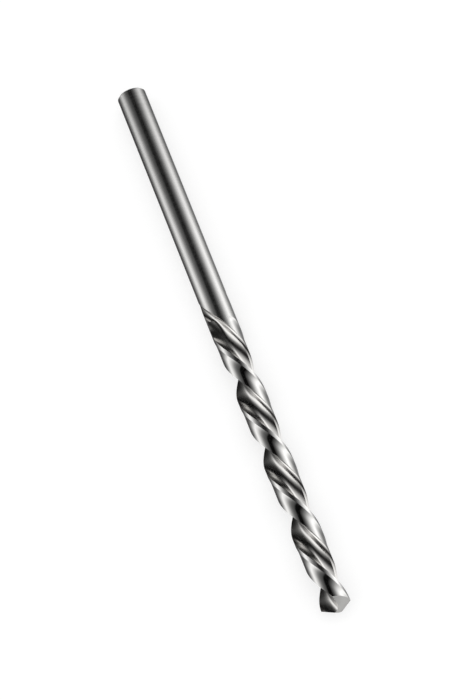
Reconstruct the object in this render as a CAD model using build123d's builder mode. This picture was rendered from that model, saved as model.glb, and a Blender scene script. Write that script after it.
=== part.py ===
from build123d import *
from math import asin, ceil, cos, degrees, pi, radians, sin, sqrt, tan
import os

# Twist drill bit with a straight cylindrical shank, left-hand cutting, made in one piece.
# The drill lies along +X: the shank end is at x = 0 and the point at x = overall_length.
# Angles about the axis run from +Y towards +Z. Lengths are in millimetres, angles in degrees.
# Each of the two lands is measured round from its leading edge, where the margin meets the rake face.

# ---- overall ----
drill_diameter = 3.2          # across the margins at the point
back_taper = 0.02             # how much thinner the drill is where its flutes end
overall_length = 65.0
shank_chamfer = 0.17

# ---- helix ----
helix_angle = 31.0
flute_length = 38.0
lip_corner_angle = 2.0        # where the first leading edge stands at the corner of the point

# ---- land ----
margin_width = 0.46           # round the land, from the leading edge
land_width = 2.18             # round the land, from the leading edge to the heel
clearance_depth = 0.09        # how far the cleared land lies under the margin
clearance_blend = 0.90        # width over which the clearance sinks from the margin
clearance_delay = 3.0         # the clearance starts this far after the heel groove
clearance_runout = 0.6        # length over which it sinks in
clearance_opening = 1.9       # length over which it widens to the heel
clearance_overlap = 14.0      # how far round it runs past the heel, out over the groove
clearance_tongue = 3.0        # angle of its level part where it starts

# ---- main flute ----
web_thickness = 0.60
web_at_runout = 0.86
flute_runout = 5.6            # length over which the flute sinks from the surface
flute_delay = 1.7             # the main flute starts this far after the heel groove
flute_lift_angle = 112.0      # direction in which its cutter lifts out
flute_root_angle = 122.0      # where the flute is deepest
heel_wall_height = 1.14       # distance from the axis to the middle of the heel wall
heel_wall_angle = 3.0         # how far that point lies behind the heel
heel_wall_hook = 8.0          # how far the wall leans from there to beyond the surface

# ---- heel groove ----
heel_groove_radius = 0.64
heel_groove_depth = 0.62
heel_groove_offset = 24.0     # angle from the heel to the middle of the groove
heel_groove_runout = 4.2
heel_groove_half_arc = 105.0

# ---- point ----
point_angle = 118.0
flank_cone_half_angle = 34.0
flank_cone_setback = 2.35     # from the drill axis to the apex of the flank's cone
flank_cone_offset = 0.78      # sideways from the drill axis to that apex

# ---- worked out ----
radius = drill_diameter / 2
shank_radius = radius - back_taper / 2
lead = pi * drill_diameter / tan(radians(helix_angle))
half_point = point_angle / 2
margin_angle = degrees(margin_width / radius)
land_angle = degrees(land_width / radius)
blend_angle = margin_angle + degrees(clearance_blend / radius)
outside = 1.25 * radius       # how far the cutters stand out of the blank
far_outside = 2 * radius
overrun = 0.3 * drill_diameter
corner_reach = sqrt(radius**2 - (web_thickness / 2) ** 2)
corner_x = overall_length - corner_reach / tan(radians(half_point))
groove_start = overall_length - flute_length
flute_start = groove_start + flute_delay
clearance_start = groove_start + clearance_delay
groove_angle = land_angle + heel_groove_offset
groove_centre_radius = radius - heel_groove_depth + heel_groove_radius
flank_cone_tilt = half_point - flank_cone_half_angle
flank_cone_height = 2 * overall_length

# ---- how finely the cutters follow the helix ----
STATIONS_PER_TURN = 16
STATIONS_PER_RUN = 10         # a run stays well under one turn
SINKING_STATIONS = 5
RAKE_SHARES = (1.0, 0.6, 0.32)
BLEND_SHARES = (0.4, 0.8, 1.2)


def leading_edge(x):
    """Angle of the first leading edge about the axis at x."""
    return lip_corner_angle - 360 * (x - corner_x) / lead


def land_plane(x, turn):
    """Plane across the drill at x, whose own x-axis points at the leading edge of one land."""
    angle = radians(leading_edge(x) + turn)
    return Plane(origin=(x, 0, 0), x_dir=(0, cos(angle), sin(angle)), z_dir=(1, 0, 0))


def polar(r, angle):
    """Point of a land plane at radius r and at an angle from the leading edge."""
    return Vector(r * cos(radians(angle)), r * sin(radians(angle)))


def cutter_runs(start, runout):
    """Stations of a cutter in short runs: one run where it sinks in, then even ones to the point."""
    sinking = [start + runout * i / SINKING_STATIONS for i in range(-1, SINKING_STATIONS + 1)]
    rest = overall_length + overrun - sinking[-1]
    count = ceil(rest / lead * STATIONS_PER_TURN)
    level = [sinking[-1] + rest * i / count for i in range(count + 1)]
    return [sinking] + [level[i : i + STATIONS_PER_RUN + 1] for i in range(0, count, STATIONS_PER_RUN)]


def unsunk(x, start, runout):
    """Share of its full depth that a cutter still stands high at x: 1 where it starts, 0 once level."""
    return max(0.0, (start + runout - x) / runout) ** 2


def web_at(x):
    """Web thickness at x, which grows evenly from the point towards the shank."""
    return web_thickness + (web_at_runout - web_thickness) * (overall_length - x) / flute_length


def rake_point(r, web):
    """Point of the rake face at radius r, for a lip that is straight at the point angle."""
    reach = sqrt(r**2 - (web / 2) ** 2)
    edge_reach = sqrt(radius**2 - (web / 2) ** 2)
    back = asin(web / 2 / r) - asin(web / 2 / radius)
    ahead = 2 * pi * (edge_reach - reach) / tan(radians(half_point)) / lead
    return polar(r, 180 + degrees(ahead - back))


def flute_section(x, turn):
    """Section of the main flute's cutter: rake face, root and heel wall, closed outside the blank."""
    web = web_at(x)
    rise = polar(unsunk(x, flute_start, flute_runout) * (radius - web / 2), flute_lift_angle)
    rake = [rake_point(outside, web)] + [rake_point(share * radius, web) for share in RAKE_SHARES]
    root = polar(web / 2, flute_root_angle)
    wall = polar(heel_wall_height, land_angle + heel_wall_angle)
    wall_end = polar(outside, land_angle + heel_wall_angle + heel_wall_hook)
    beyond = polar(far_outside, flute_lift_angle) + rise
    with BuildSketch(land_plane(x, turn)) as section:
        with BuildLine():
            face = Spline(*[point + rise for point in (*rake, root, wall, wall_end)])
            Polyline(face @ 1, beyond, face @ 0)
        make_face()
    return section.sketch


def heel_groove_section(x, turn):
    """Section of the round groove that cuts back the heel beside the main flute."""
    rise = unsunk(x, groove_start, heel_groove_runout) * heel_groove_depth
    middle = polar(groove_centre_radius + rise, groove_angle)
    first = groove_angle + 180 - heel_groove_half_arc
    with BuildSketch(land_plane(x, turn)) as section:
        with BuildLine():
            groove = CenterArc(middle, heel_groove_radius, first, 2 * heel_groove_half_arc)
            Polyline(groove @ 1, polar(far_outside, groove_angle), groove @ 0)
        make_face()
    return section.sketch


def clearance_section(x, turn):
    """Section of the cut that lowers the land behind its margin: level to the heel, curving up to the margin."""
    depth = clearance_depth * (1 - unsunk(x, clearance_start, clearance_runout))
    opened = min(1.0, max(0.0, (x - clearance_start) / clearance_opening))
    level_angle = clearance_tongue + (land_angle + clearance_overlap - blend_angle - clearance_tongue) * opened
    blend = [
        polar(radius - depth + clearance_depth * share**3, blend_angle + (margin_angle - blend_angle) * share)
        for share in BLEND_SHARES
    ]
    with BuildSketch(land_plane(x, turn)) as section:
        with BuildLine():
            level = CenterArc((0, 0), radius - depth, blend_angle, level_angle)
            side = Spline(level @ 0, *blend)
            Polyline(side @ 1, polar(outside, blend_angle), polar(outside, blend_angle + level_angle), level @ 1)
        make_face()
    return section.sketch


def flank_apex_height():
    """Height of a flank cone's apex above the middle of the chisel edge."""
    tilt = radians(flank_cone_tilt)
    spread = cos(radians(flank_cone_half_angle)) ** 2
    a = cos(tilt) ** 2 - spread
    b = 2 * flank_cone_setback * sin(tilt) * cos(tilt)
    c = (flank_cone_setback * sin(tilt)) ** 2 - spread * (flank_cone_setback**2 + flank_cone_offset**2)
    return (sqrt(b**2 - 4 * a * c) - b) / (2 * a)


def flank_cone_plane(turn):
    """Plane at a flank cone's apex, its z-axis pointing back out of the cone."""
    lip = radians(lip_corner_angle + degrees(asin(web_thickness / drill_diameter)) + turn)
    along = Vector(0, cos(lip), sin(lip))
    across = Vector(0, -sin(lip), cos(lip))
    centre = Vector(overall_length + flank_apex_height(), 0, 0)
    tilt = radians(flank_cone_tilt)
    return Plane(
        origin=centre - along * flank_cone_setback - across * flank_cone_offset,
        x_dir=across,
        z_dir=Vector(cos(tilt), 0, 0) - along * sin(tilt),
    )


with BuildPart() as drill_bit:
    with BuildSketch():
        with BuildLine():
            Polyline(
                (0, 0),
                (0, shank_radius - shank_chamfer),
                (shank_chamfer, shank_radius),
                (groove_start, shank_radius),
                (overall_length, radius),
                (overall_length, 0),
                close=True,
            )
        make_face()
    revolve(axis=Axis.X)

    for turn in (0, 180):
        for run in cutter_runs(flute_start, flute_runout):
            loft([flute_section(x, turn) for x in run], mode=Mode.SUBTRACT)
        for run in cutter_runs(groove_start, heel_groove_runout):
            loft([heel_groove_section(x, turn) for x in run], mode=Mode.SUBTRACT)
        for run in cutter_runs(clearance_start, clearance_runout):
            loft([clearance_section(x, turn) for x in run], mode=Mode.SUBTRACT)

    for turn in (0, 180):
        with Locations(flank_cone_plane(turn)):
            Cone(
                bottom_radius=flank_cone_height * tan(radians(flank_cone_half_angle)),
                top_radius=0,
                height=flank_cone_height,
                align=(Align.CENTER, Align.CENTER, Align.MAX),
                mode=Mode.INTERSECT,
            )

drill_bit.part.label = "drill_bit"
os.makedirs("parts", exist_ok=True)
export_step(drill_bit.part, "parts/drill_bit.step")
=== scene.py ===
"""Looks of the twist drill bit: a finely meshed body, bright ground steel and a white studio.

The body has the CAD's form, but where the flutes run out towards the shank it follows the photo more closely.
"""
from collections import namedtuple
from math import asin, atan2, cos, degrees, pi, radians, sin, sqrt, tan

import bmesh
import bpy
import numpy as np
from mathutils import Matrix, Vector


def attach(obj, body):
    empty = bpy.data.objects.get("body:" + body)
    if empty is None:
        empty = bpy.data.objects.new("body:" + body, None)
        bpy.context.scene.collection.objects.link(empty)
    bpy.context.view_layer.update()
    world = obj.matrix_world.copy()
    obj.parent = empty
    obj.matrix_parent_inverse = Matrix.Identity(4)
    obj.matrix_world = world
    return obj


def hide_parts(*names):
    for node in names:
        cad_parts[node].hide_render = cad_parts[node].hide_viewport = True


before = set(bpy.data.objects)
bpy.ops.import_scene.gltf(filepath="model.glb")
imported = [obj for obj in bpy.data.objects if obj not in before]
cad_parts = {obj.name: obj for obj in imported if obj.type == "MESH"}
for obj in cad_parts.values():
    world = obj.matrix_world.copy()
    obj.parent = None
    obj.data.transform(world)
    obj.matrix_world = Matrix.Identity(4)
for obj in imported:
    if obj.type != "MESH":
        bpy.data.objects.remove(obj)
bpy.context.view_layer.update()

MM = 0.001

# ---- sizes of the drill, as in its CAD source: millimetres and degrees ----
DIAMETER = 3.2
BACK_TAPER = 0.02
LENGTH = 65.0
SHANK_CHAMFER = 0.17
HELIX_ANGLE = 31.0
FLUTE_LENGTH = 38.0
LIP_CORNER_ANGLE = 2.0
MARGIN_WIDTH = 0.46
LAND_WIDTH = 2.18
CLEARANCE_DEPTH = 0.09
CLEARANCE_BLEND = 0.90
CLEARANCE_DELAY = 3.0
CLEARANCE_OPENING = 1.9
CLEARANCE_OVERLAP = 14.0
CLEARANCE_TONGUE = 3.0
WEB = 0.60
WEB_AT_RUNOUT = 0.86
ROOT_ANGLE = 122
WALL_RADIUS = 1.14
WALL_LAG = 3
WALL_HOOK = 8
GROOVE_RADIUS = 0.64
GROOVE_DEPTH = 0.62
GROOVE_OFFSET = 24
POINT_ANGLE = 118.0
CONE_HALF_ANGLE = 34.0
CONE_SETBACK = 2.35
CONE_OFFSET = 0.78
OVERRUN = 0.3 * DIAMETER

RADIUS = DIAMETER / 2
LEAD = pi * DIAMETER / tan(radians(HELIX_ANGLE))
HALF_POINT = POINT_ANGLE / 2
SHANK_RADIUS = RADIUS - BACK_TAPER / 2
MARGIN_ANGLE = degrees(MARGIN_WIDTH / RADIUS)
LAND_ANGLE = degrees(LAND_WIDTH / RADIUS)
BLEND_ANGLE = MARGIN_ANGLE + degrees(CLEARANCE_BLEND / RADIUS)
OUTSIDE = 1.25 * RADIUS
CORNER_X = LENGTH - sqrt(RADIUS**2 - (WEB / 2) ** 2) / tan(radians(HALF_POINT))
WALL_ANGLE = LAND_ANGLE + WALL_LAG
GROOVE_START = LENGTH - FLUTE_LENGTH
GROOVE_ANGLE = LAND_ANGLE + GROOVE_OFFSET
GROOVE_CENTRE_RADIUS = RADIUS - GROOVE_DEPTH + GROOVE_RADIUS
CONE_TILT = HALF_POINT - CONE_HALF_ANGLE

# ---- run-outs: where each cutter starts, the length over which it sinks in, how steeply, and how far aslant ----
# The flute's and the groove's are slanted. In the CAD each cutter sinks evenly across its width.
RunOut = namedtuple("RunOut", "start length power slant")
FLUTE_RUNOUT = RunOut(GROOVE_START + 1.86, 3.71, 3.2, 0.61)
GROOVE_RUNOUT = RunOut(GROOVE_START - 0.44, 4.96, 3.0, 0.13)
CLEARANCE_RUNOUT = RunOut(GROOVE_START + CLEARANCE_DELAY, 0.6, 2, 0.0)
LIFT_DIRECTION = 112.7        # angle in which the flute's cutter lifts out

# ---- how finely the body is meshed ----
AROUND = 288                  # points of the bar's rings
SHANK_RINGS = 54
FLUTED_RINGS = 78
SINKING_STATIONS = 80         # stations of a cutter until it runs level
STATION_STEP = 0.2            # distance between its stations from there on
LEAD_IN = 1.6                 # its first station is this far before its start
RAKE_RADII = (OUTSIDE, RADIUS, 0.6 * RADIUS, 0.32 * RADIUS)
FLUTE_STEPS = (4, 14, 12, 18, 30, 14)
GROOVE_STEPS = 84
GROOVE_SWEEP = 210            # angle of the groove's circle that its cutter covers
LEVEL_STEPS = 24
BLEND_STEPS = 14
BLEND_END = 1.2               # the blend's share at its outer end, where 1 is the margin's edge
FAR_OUTSIDE = 8 * RADIUS      # where a cutter's profile closes, beyond every lifted point
CONE_STEPS = 360
CONE_RINGS = (1.0, 2.0, 3.0, 4.0, 5.0, 6.0, 8.0, 12.0, 30.0, 2 * LENGTH)
SHARP_ANGLE = 8

# ---- material slots of the body ----
SHANK, LAND, FLUTE, FLANK, END = range(5)


# ---------------------------------------------------------------- shape

def leading_edge(x):
    """Angle of the first leading edge about the axis at x, in radians."""
    return radians(LIP_CORNER_ANGLE - 360 * (x - CORNER_X) / LEAD)


def polar(r, angle):
    """Point of a land plane at radius r and at an angle in degrees from the leading edge."""
    return np.array((r * cos(radians(angle)), r * sin(radians(angle))))


def arc(middle, r, start, sweep, count):
    """Points along an arc of a land plane, both ends included."""
    return [np.asarray(middle) + polar(r, start + sweep * i / count) for i in range(count + 1)]


def spline(points, counts):
    """Smooth curve through points: a natural cubic in chord length, with counts[i] steps in span i."""
    points = np.asarray(points, float)
    spans = np.linalg.norm(np.diff(points, axis=0), axis=1)
    size = len(points)
    left = np.eye(size)
    right = np.zeros((size, 2))
    for i in range(1, size - 1):
        left[i, i - 1 : i + 2] = spans[i - 1], 2 * (spans[i - 1] + spans[i]), spans[i]
        right[i] = 6 * ((points[i + 1] - points[i]) / spans[i] - (points[i] - points[i - 1]) / spans[i - 1])
    bend = np.linalg.solve(left, right)
    curve = []
    for i, span in enumerate(spans):
        for k in range(counts[i]):
            b = k / counts[i]
            a = 1 - b
            curved = ((a**3 - a) * bend[i] + (b**3 - b) * bend[i + 1]) * span**2 / 6
            curve.append(a * points[i] + b * points[i + 1] + curved)
    return curve + [points[-1]]


def unsunk(x, runout):
    """Share of its full depth that a cutter still stands high at x: 1 where it starts, 0 once level."""
    return max(0.0, (runout.start + runout.length - x) / runout.length) ** runout.power


def lifted(points, x, runout, middle, direction, depth):
    """Moves a cutter's points out where it sinks in: later on the side that the wheel reaches later."""
    moved = []
    for point in points:
        turned = atan2(point[1], point[0]) % (2 * pi) - radians(middle)
        share = unsunk(x - runout.slant * RADIUS * turned, runout)
        moved.append(point + polar(share * depth, direction))
    return moved


def web_at(x):
    """Web thickness at x, which grows evenly from the point towards the shank."""
    return WEB + (WEB_AT_RUNOUT - WEB) * (LENGTH - x) / FLUTE_LENGTH


def rake_point(r, web):
    """Point of the rake face at radius r, for a lip that is straight at the point angle."""
    reach = sqrt(r**2 - (web / 2) ** 2)
    edge_reach = sqrt(RADIUS**2 - (web / 2) ** 2)
    back = asin(web / 2 / r) - asin(web / 2 / RADIUS)
    ahead = 2 * pi * (edge_reach - reach) / tan(radians(HALF_POINT)) / LEAD
    return polar(r, 180 + degrees(ahead - back))


def flute_profile(x):
    """Main flute's cutter at x: rake face, root and heel wall, closed outside the bar."""
    web = web_at(x)
    rake = [rake_point(r, web) for r in RAKE_RADII]
    wall = [polar(web / 2, ROOT_ANGLE), polar(WALL_RADIUS, WALL_ANGLE), polar(OUTSIDE, WALL_ANGLE + WALL_HOOK)]
    face = spline(rake + wall, FLUTE_STEPS)
    face = lifted(face, x, FLUTE_RUNOUT, ROOT_ANGLE, LIFT_DIRECTION, RADIUS - web / 2)
    return face + [polar(FAR_OUTSIDE, LIFT_DIRECTION)]


def groove_profile(x):
    """Cutter of the round groove that cuts back the heel beside the main flute."""
    first = GROOVE_ANGLE + 180 - GROOVE_SWEEP / 2
    face = arc(polar(GROOVE_CENTRE_RADIUS, GROOVE_ANGLE), GROOVE_RADIUS, first, GROOVE_SWEEP, GROOVE_STEPS)
    face = lifted(face, x, GROOVE_RUNOUT, GROOVE_ANGLE, GROOVE_ANGLE, GROOVE_DEPTH)
    return face + [polar(FAR_OUTSIDE, GROOVE_ANGLE)]


def clearance_profile(x):
    """Cutter that lowers the land behind its margin: level to the heel, curving up to the margin."""
    level_radius = RADIUS - CLEARANCE_DEPTH * (1 - unsunk(x, CLEARANCE_RUNOUT))
    opened = min(1.0, max(0.0, (x - CLEARANCE_RUNOUT.start) / CLEARANCE_OPENING))
    sweep = CLEARANCE_TONGUE + (LAND_ANGLE + CLEARANCE_OVERLAP - BLEND_ANGLE - CLEARANCE_TONGUE) * opened
    level = arc((0, 0), level_radius, BLEND_ANGLE + sweep, -sweep, LEVEL_STEPS)
    blend = []
    for i in range(1, BLEND_STEPS + 1):
        share = BLEND_END * i / BLEND_STEPS
        angle = BLEND_ANGLE + (MARGIN_ANGLE - BLEND_ANGLE) * share
        blend.append(polar(level_radius + CLEARANCE_DEPTH * share**3, angle))
    return level + blend + [polar(OUTSIDE, BLEND_ANGLE), polar(OUTSIDE, BLEND_ANGLE + sweep)]


def mesh_object(name, points, faces, slot):
    """Object of a new mesh whose faces all use one material slot."""
    mesh = bpy.data.meshes.new(name)
    mesh.from_pydata(points, [], faces)
    mesh.polygons.foreach_set("material_index", np.full(len(mesh.polygons), slot, dtype=np.int32))
    mesh.validate()
    for material in MATERIALS:
        mesh.materials.append(material)
    thing = bpy.data.objects.new(name, mesh)
    bpy.context.scene.collection.objects.link(thing)
    return thing


def tube_faces(rings, count, first=0):
    """Quads between neighbouring rings of count points, the points numbered from first."""
    faces = []
    for i in range(rings - 1):
        here = first + i * count
        for k in range(count):
            after = (k + 1) % count
            faces.append((here + k, here + after, here + count + after, here + count + k))
    return faces


def cap_face(ring, count, first=0):
    """One face over a whole ring of points."""
    return tuple(range(first + ring * count, first + (ring + 1) * count))


def outward(thing):
    """Turns a closed mesh's faces outwards."""
    work = bmesh.new()
    work.from_mesh(thing.data)
    bmesh.ops.recalc_face_normals(work, faces=work.faces)
    if work.calc_volume(signed=True) < 0:
        bmesh.ops.reverse_faces(work, faces=work.faces)
    work.to_mesh(thing.data)
    work.free()
    return thing


def cutter(name, start, level, profile_at, turn, slot):
    """Solid swept along the helix, one profile to each station, closer together up to where it runs level."""
    last = LENGTH + OVERRUN
    sinking = np.linspace(start - LEAD_IN, level, SINKING_STATIONS)
    even = np.linspace(level, last, int((last - level) / STATION_STEP))
    stations = np.concatenate((sinking, even[1:]))
    points = []
    for x in stations:
        profile = np.array(profile_at(x))
        angle = leading_edge(x) + radians(turn)
        y = profile[:, 0] * cos(angle) - profile[:, 1] * sin(angle)
        z = profile[:, 0] * sin(angle) + profile[:, 1] * cos(angle)
        points += [(x, *p) for p in zip(y, z)]
    count = len(profile)
    faces = tube_faces(len(stations), count)
    faces += [cap_face(0, count), cap_face(len(stations) - 1, count)]
    return outward(mesh_object(name, points, faces, slot))


def blank():
    """The bar: a chamfered cylinder with its rings close enough to shade evenly."""
    taper = (RADIUS - SHANK_RADIUS) / FLUTE_LENGTH
    rings = [(0.0, SHANK_RADIUS - SHANK_CHAMFER)]
    rings += [(x, SHANK_RADIUS) for x in np.linspace(SHANK_CHAMFER, GROOVE_START, SHANK_RINGS)]
    for x in np.linspace(GROOVE_START, LENGTH, FLUTED_RINGS)[1:]:
        rings.append((x, SHANK_RADIUS + taper * (x - GROOVE_START)))
    points = []
    for x, r in rings:
        points += [(x, r * cos(2 * pi * k / AROUND), r * sin(2 * pi * k / AROUND)) for k in range(AROUND)]
    faces = tube_faces(len(rings), AROUND)
    chamfer = slice(0, AROUND)
    shank_end = len(faces)
    faces += [cap_face(0, AROUND), cap_face(len(rings) - 1, AROUND)]
    thing = mesh_object("blank", points, faces, SHANK)
    slots = np.full(len(faces), SHANK, dtype=np.int32)
    slots[chamfer] = END
    slots[shank_end] = END
    thing.data.polygons.foreach_set("material_index", slots)
    return outward(thing)


def flank_cone(turn):
    """Cone whose surface is one relieved flank, its apex beyond the point."""
    tilt = radians(CONE_TILT)
    half = radians(CONE_HALF_ANGLE)
    spread = cos(half) ** 2
    a = cos(tilt) ** 2 - spread
    b = 2 * CONE_SETBACK * sin(tilt) * cos(tilt)
    c = (CONE_SETBACK * sin(tilt)) ** 2 - spread * (CONE_SETBACK**2 + CONE_OFFSET**2)
    height = (sqrt(b**2 - 4 * a * c) - b) / (2 * a)
    lip = leading_edge(CORNER_X) + asin(WEB / DIAMETER) + radians(turn)
    along = Vector((0, cos(lip), sin(lip)))
    across = Vector((0, -sin(lip), cos(lip)))
    apex = Vector((LENGTH + height, 0, 0)) - along * CONE_SETBACK - across * CONE_OFFSET
    back = Vector((cos(tilt), 0, 0)) - along * sin(tilt)
    third = back.cross(across)
    points = [tuple(apex)]
    for far in CONE_RINGS:
        for k in range(CONE_STEPS):
            angle = 2 * pi * k / CONE_STEPS
            out = (across * cos(angle) + third * sin(angle)) * far * tan(half)
            points.append(tuple(apex - back * far + out))
    faces = [(0, 1 + k, 1 + (k + 1) % CONE_STEPS) for k in range(CONE_STEPS)]
    faces += tube_faces(len(CONE_RINGS), CONE_STEPS, first=1)
    faces.append(cap_face(len(CONE_RINGS) - 1, CONE_STEPS, first=1))
    return outward(mesh_object("flank_cone", points, faces, FLANK))


def cut(body, tool, operation):
    """Adds a tool to what the body is cut with."""
    modifier = body.modifiers.new(tool.name, "BOOLEAN")
    modifier.operation = operation
    modifier.solver = "MANIFOLD"
    modifier.object = tool


def make_body():
    """The drill, cut from the bar with each face keeping the material of the tool that made it."""
    body = blank()
    # name, start and length of the part with close stations, profile and material slot
    cutters = (
        ("clearance", CLEARANCE_RUNOUT.start, CLEARANCE_RUNOUT.length, clearance_profile, LAND),
        ("flute", FLUTE_RUNOUT.start, FLUTE_RUNOUT.length, flute_profile, FLUTE),
        ("groove", GROOVE_START, GROOVE_RUNOUT.length, groove_profile, FLUTE),
    )
    tools = []
    for turn in (0, 180):
        for name, start, length, profile_at, slot in cutters:
            tools.append((cutter(name, start, start + length, profile_at, turn, slot), "DIFFERENCE"))
    for turn in (0, 180):
        tools.append((flank_cone(turn), "INTERSECT"))
    for tool, operation in tools:
        cut(body, tool, operation)
    bpy.context.view_layer.update()
    mesh = bpy.data.meshes.new_from_object(body.evaluated_get(bpy.context.evaluated_depsgraph_get()))
    for tool, _ in tools:
        bpy.data.objects.remove(tool)
    bpy.data.objects.remove(body)
    mesh.transform(Matrix.Scale(MM, 4))
    mesh.polygons.foreach_set("use_smooth", np.ones(len(mesh.polygons), dtype=bool))
    mesh.set_sharp_from_angle(angle=radians(SHARP_ANGLE))
    thing = bpy.data.objects.new("drill_body", mesh)
    bpy.context.scene.collection.objects.link(thing)
    return thing


# ---------------------------------------------------------------- materials

class Nodes:
    """Short way to write a node tree."""

    def __init__(self, tree):
        self.tree = tree
        tree.nodes.clear()

    def add(self, kind, settings=None, **inputs):
        """New node; _0, _1 and so on name its inputs by number, other names by what they are called."""
        node = self.tree.nodes.new(kind)
        for key, value in (settings or {}).items():
            setattr(node, key, value)
        for key, value in inputs.items():
            socket = node.inputs[int(key[1:]) if key[0] == "_" else key.replace("_", " ")]
            if isinstance(value, bpy.types.NodeSocket):
                self.tree.links.new(value, socket)
            else:
                socket.default_value = value
        return node

    def math(self, operation, a, b=0.0, c=0.0):
        return self.add("ShaderNodeMath", {"operation": operation}, _0=a, _1=b, _2=c).outputs[0]

    def ramp(self, value, stops, interpolation="LINEAR"):
        """Colour ramp; a stop's level is a grey or a colour of three numbers."""
        node = self.add("ShaderNodeValToRGB", None, Fac=value)
        node.color_ramp.interpolation = interpolation
        elements = node.color_ramp.elements
        while len(elements) < len(stops):
            elements.new(0.5)
        for element, (position, level) in zip(elements, stops):
            element.position = position
            element.color = (*level, 1) if isinstance(level, tuple) else (level, level, level, 1)
        return node.outputs["Color"]


def object_place(nodes):
    return nodes.add("ShaderNodeTexCoord").outputs["Object"]


def along_helix(nodes, along, across):
    """Coordinates that run with the flutes: coarse along the helix, fine across it."""
    axes = nodes.add("ShaderNodeSeparateXYZ", None, Vector=object_place(nodes)).outputs
    angle = nodes.math("MULTIPLY", axes["X"], -2 * pi / (LEAD * MM))
    c = nodes.math("COSINE", angle)
    s = nodes.math("SINE", angle)
    u = nodes.math("ADD", nodes.math("MULTIPLY", axes["Y"], c), nodes.math("MULTIPLY", axes["Z"], s))
    v = nodes.math("SUBTRACT", nodes.math("MULTIPLY", axes["Z"], c), nodes.math("MULTIPLY", axes["Y"], s))
    return nodes.add(
        "ShaderNodeCombineXYZ", None,
        X=nodes.math("MULTIPLY", axes["X"], along),
        Y=nodes.math("MULTIPLY", u, across),
        Z=nodes.math("MULTIPLY", v, across),
    ).outputs[0]


def stretched(nodes, along, across):
    """Coordinates stretched along the axis and across it."""
    scale = (along, across, across)
    return nodes.add("ShaderNodeMapping", None, Vector=object_place(nodes), Scale=scale).outputs[0]


CLOUD_SCALE = 450.0
LINES_SHARE, CLOUD_SHARE = 0.6, 0.4
NOISE_LOW, NOISE_HIGH = 0.3, 0.7


def steel(name, grain_at, grain, tints, roughness, bump_strength, bump_depth):
    """Bare ground steel: fine lines in its roughness, its tint and its surface."""
    material = bpy.data.materials.new(name)
    material.use_nodes = True
    nodes = Nodes(material.node_tree)
    place = grain_at(nodes, *grain)
    fine = nodes.add("ShaderNodeTexNoise", None, Vector=place, Scale=1.0, Detail=5.0, Roughness=0.6).outputs["Fac"]
    cloud = nodes.add(
        "ShaderNodeTexNoise", None, Vector=object_place(nodes), Scale=CLOUD_SCALE, Detail=3.0
    ).outputs["Fac"]
    mottle = nodes.math("MULTIPLY_ADD", fine, LINES_SHARE, nodes.math("MULTIPLY", cloud, CLOUD_SHARE))
    tint = nodes.ramp(mottle, ((NOISE_LOW, tints[0]), (NOISE_HIGH, tints[1])))
    sheen = nodes.add(
        "ShaderNodeMapRange", None,
        Value=fine, From_Min=NOISE_LOW, From_Max=NOISE_HIGH, To_Min=roughness[0], To_Max=roughness[1],
    ).outputs[0]
    relief = nodes.add("ShaderNodeBump", None, Height=fine, Strength=bump_strength, Distance=bump_depth).outputs[0]
    shader = nodes.add(
        "ShaderNodeBsdfPrincipled", None, Base_Color=tint, Metallic=1.0, Roughness=sheen, Normal=relief
    )
    nodes.add("ShaderNodeOutputMaterial", None, Surface=shader.outputs[0])
    return material


# In the order of the slots: name, grain and its scales along and across, darkest and lightest tint,
# smoothest and roughest, strength of the relief and its depth in metres.
STEELS = (
    ("shank_steel", stretched, (9000, 300), ((0.62, 0.615, 0.605), (0.68, 0.675, 0.665)), (0.14, 0.22), 0.05, 0.00001),
    ("land_steel", along_helix, (60, 6000), ((0.57, 0.565, 0.555), (0.63, 0.625, 0.615)), (0.03, 0.06), 0.015, 0.00001),
    ("flute_steel", along_helix, (60, 5000), ((0.56, 0.55, 0.535), (0.62, 0.61, 0.595)), (0.12, 0.2), 0.01, 0.00001),
    ("flank_steel", stretched, (500, 6000), ((0.48, 0.475, 0.465), (0.58, 0.575, 0.565)), (0.55, 0.68), 0.3, 0.00002),
    ("end_steel", stretched, (2500, 2500), ((0.52, 0.515, 0.505), (0.6, 0.595, 0.585)), (0.3, 0.42), 0.2, 0.00001),
)
MATERIALS = [steel(*row) for row in STEELS]

body = make_body()
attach(body, "root")
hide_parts("drill_bit")


# ---------------------------------------------------------------- studio

REST_HEIGHT = -RADIUS * MM
FLOOR_COLOUR = 0.45
FLOOR_LIFT = 0.6
FLOOR_SIZE = 3.0


def make_floor():
    """Pale floor that keeps the drill's shadow; its own light is for the camera alone, and metal doesn't see it."""
    half = FLOOR_SIZE / 2
    corners = [(x, y, REST_HEIGHT) for x, y in ((-half, -half), (half, -half), (half, half), (-half, half))]
    floor = mesh_object("floor", corners, [(0, 1, 2, 3)], 0)
    floor.data.materials.clear()
    material = bpy.data.materials.new("floor_white")
    material.use_nodes = True
    nodes = Nodes(material.node_tree)
    to_camera = nodes.add("ShaderNodeLightPath").outputs["Is Camera Ray"]
    matt = nodes.add("ShaderNodeBsdfDiffuse", None, Color=(FLOOR_COLOUR, FLOOR_COLOUR, FLOOR_COLOUR, 1)).outputs[0]
    lift = nodes.add("ShaderNodeEmission", None, Strength=nodes.math("MULTIPLY", to_camera, FLOOR_LIFT)).outputs[0]
    white = nodes.add("ShaderNodeAddShader", None, _0=matt, _1=lift).outputs[0]
    nodes.add("ShaderNodeOutputMaterial", None, Surface=white)
    floor.visible_glossy = False
    floor.data.materials.append(material)


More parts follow.
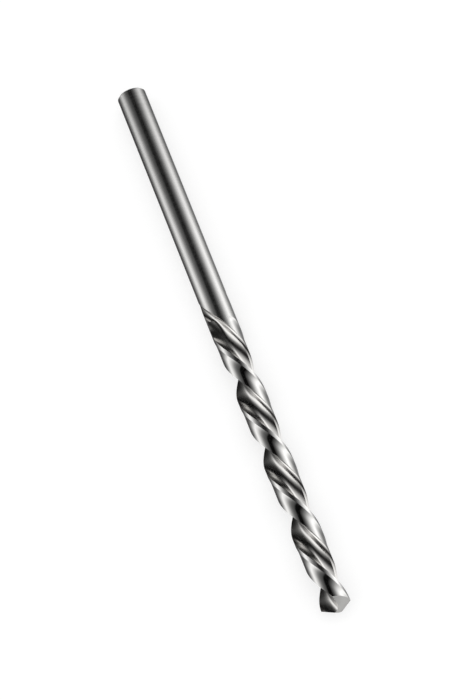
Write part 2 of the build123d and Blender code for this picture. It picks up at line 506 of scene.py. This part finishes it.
# What the metal sees around the drill's axis: degrees from straight up, towards +Y, with the light's level.
# The first list holds for directions that lead back past the shank, the second for those to the side and forward.
BEHIND = (
    (-180, 0.3), (-155, 0.12), (-135, 0.1), (-122, 0.2), (-108, 0.48), (-96, 0.95), (-82, 1.5), (-70, 1.3),
    (-56, 0.75), (-44, 0.36), (-32, 0.18), (-18, 0.09), (-12, 0.006), (8, 0.003), (14, 0.04), (24, 0.14),
    (36, 0.37), (48, 0.8), (60, 1.3), (74, 1.75), (86, 1.6), (100, 1.0), (120, 0.45), (138, 0.25), (160, 0.3),
)
BESIDE = (
    (-180, 0.15), (-132, 0.2), (-112, 0.6), (-96, 1.5), (-84, 1.8), (-56, 1.5), (-42, 0.7), (-30, 0.25),
    (-18, 0.08), (-12, 0.015), (4, 0.01), (12, 0.08), (24, 0.35), (36, 0.75), (60, 1.2), (84, 1.5), (112, 1.4),
    (140, 0.6), (180, 0.15),
)
# How far forward a direction leads, from -1 to 1, with the share of the second list and the level left there.
TO_BESIDE = ((-0.3, 0.0), (0.1, 1.0))
FALL_BEHIND = ((-1, 0.04), (-0.8, 0.07), (-0.7, 0.11), (-0.6, 0.22), (-0.5, 0.45), (-0.45, 0.85), (-0.4, 1.0), (1, 1.0))


def around(stops):
    """Stops in degrees, placed on a ramp that covers a full turn."""
    return [((angle + 180) / 360, level) for angle, level in stops]


def forwards(stops):
    """Stops from -1 to 1, placed on a ramp."""
    return [((x + 1) / 2, level) for x, level in stops]


def make_world():
    """White to the camera and to matt surfaces; to the metal, two softboxes with a dark gap overhead."""
    world = bpy.data.worlds.new("studio")
    world.use_nodes = True
    nodes = Nodes(world.node_tree)
    way = nodes.add("ShaderNodeTexCoord").outputs["Generated"]
    axes = nodes.add("ShaderNodeSeparateXYZ", None, Vector=way).outputs
    turn = nodes.math("MULTIPLY_ADD", nodes.math("ARCTAN2", axes["Y"], axes["Z"]), 1 / (2 * pi), 0.5)
    forward = nodes.math("MULTIPLY_ADD", axes["X"], 0.5, 0.5)
    behind = nodes.ramp(turn, around(BEHIND))
    beside = nodes.ramp(turn, around(BESIDE))
    share = nodes.ramp(forward, forwards(TO_BESIDE), "EASE")
    fall = nodes.ramp(forward, forwards(FALL_BEHIND))
    # the colour sockets of a Mix node are its inputs 6 and 7 and its output 2
    blended = nodes.add("ShaderNodeMix", {"data_type": "RGBA"}, _0=share, _6=behind, _7=beside).outputs[2]
    multiply = {"data_type": "RGBA", "blend_type": "MULTIPLY"}
    boxes = nodes.add("ShaderNodeMix", multiply, _0=1.0, _6=blended, _7=fall).outputs[2]
    to_metal = nodes.add("ShaderNodeLightPath").outputs["Is Glossy Ray"]
    even = nodes.add("ShaderNodeBackground", None, Color=(1, 1, 1, 1), Strength=1.0).outputs[0]
    seen = nodes.add("ShaderNodeBackground", None, Color=boxes, Strength=1.0).outputs[0]
    mixed = nodes.add("ShaderNodeMixShader", None, _0=to_metal, _1=even, _2=seen).outputs[0]
    nodes.add("ShaderNodeOutputWorld", None, Surface=mixed)
    bpy.context.scene.world = world


# ---- camera: the drill's axis leans from upright in the picture, its point nearer the lens ----
PICTURE = (468, 700)
AXIS_LEAN = 21.85
AXIS_TOWARDS_LENS = 24.7
DISTANCE = 111.47 * DIAMETER * MM
SHANK_PIXEL = (131.21, 95.38)
PIXELS_PER_DIAMETER = 29.03
FOCAL_PIXELS = PIXELS_PER_DIAMETER * DISTANCE / (DIAMETER * MM)
SENSOR_HEIGHT = 36.0
CLIP_START, CLIP_END = 0.01, 10


def make_camera():
    """Camera of the photo, placed by where the shank's end shows in it."""
    lean = radians(AXIS_LEAN)
    rise = radians(AXIS_TOWARDS_LENS)
    # columns: where the drill's X, Y and Z point in the picture, as right, down, forward
    to_picture = Matrix((
        (cos(rise) * sin(lean), cos(lean), -sin(rise) * sin(lean)),
        (cos(rise) * cos(lean), -sin(lean), -sin(rise) * cos(lean)),
        (-sin(rise), 0, -cos(rise)),
    ))
    shank = Vector((
        (SHANK_PIXEL[0] - PICTURE[0] / 2) / FOCAL_PIXELS * DISTANCE,
        (SHANK_PIXEL[1] - PICTURE[1] / 2) / FOCAL_PIXELS * DISTANCE,
        DISTANCE,
    ))
    data = bpy.data.cameras.new("camera")
    data.sensor_fit = "VERTICAL"
    data.sensor_height = SENSOR_HEIGHT
    data.lens = FOCAL_PIXELS * SENSOR_HEIGHT / PICTURE[1]
    data.clip_start = CLIP_START
    data.clip_end = CLIP_END
    camera = bpy.data.objects.new("camera", data)
    bpy.context.scene.collection.objects.link(camera)
    right, down, forward = (Vector(row) for row in to_picture)
    turn = Matrix((right, -down, -forward)).transposed().to_4x4()
    camera.matrix_world = Matrix.Translation(-(to_picture.transposed() @ shank)) @ turn
    bpy.context.scene.camera = camera


make_floor()
make_world()
make_camera()
bpy.context.scene.view_settings.view_transform = "Standard"
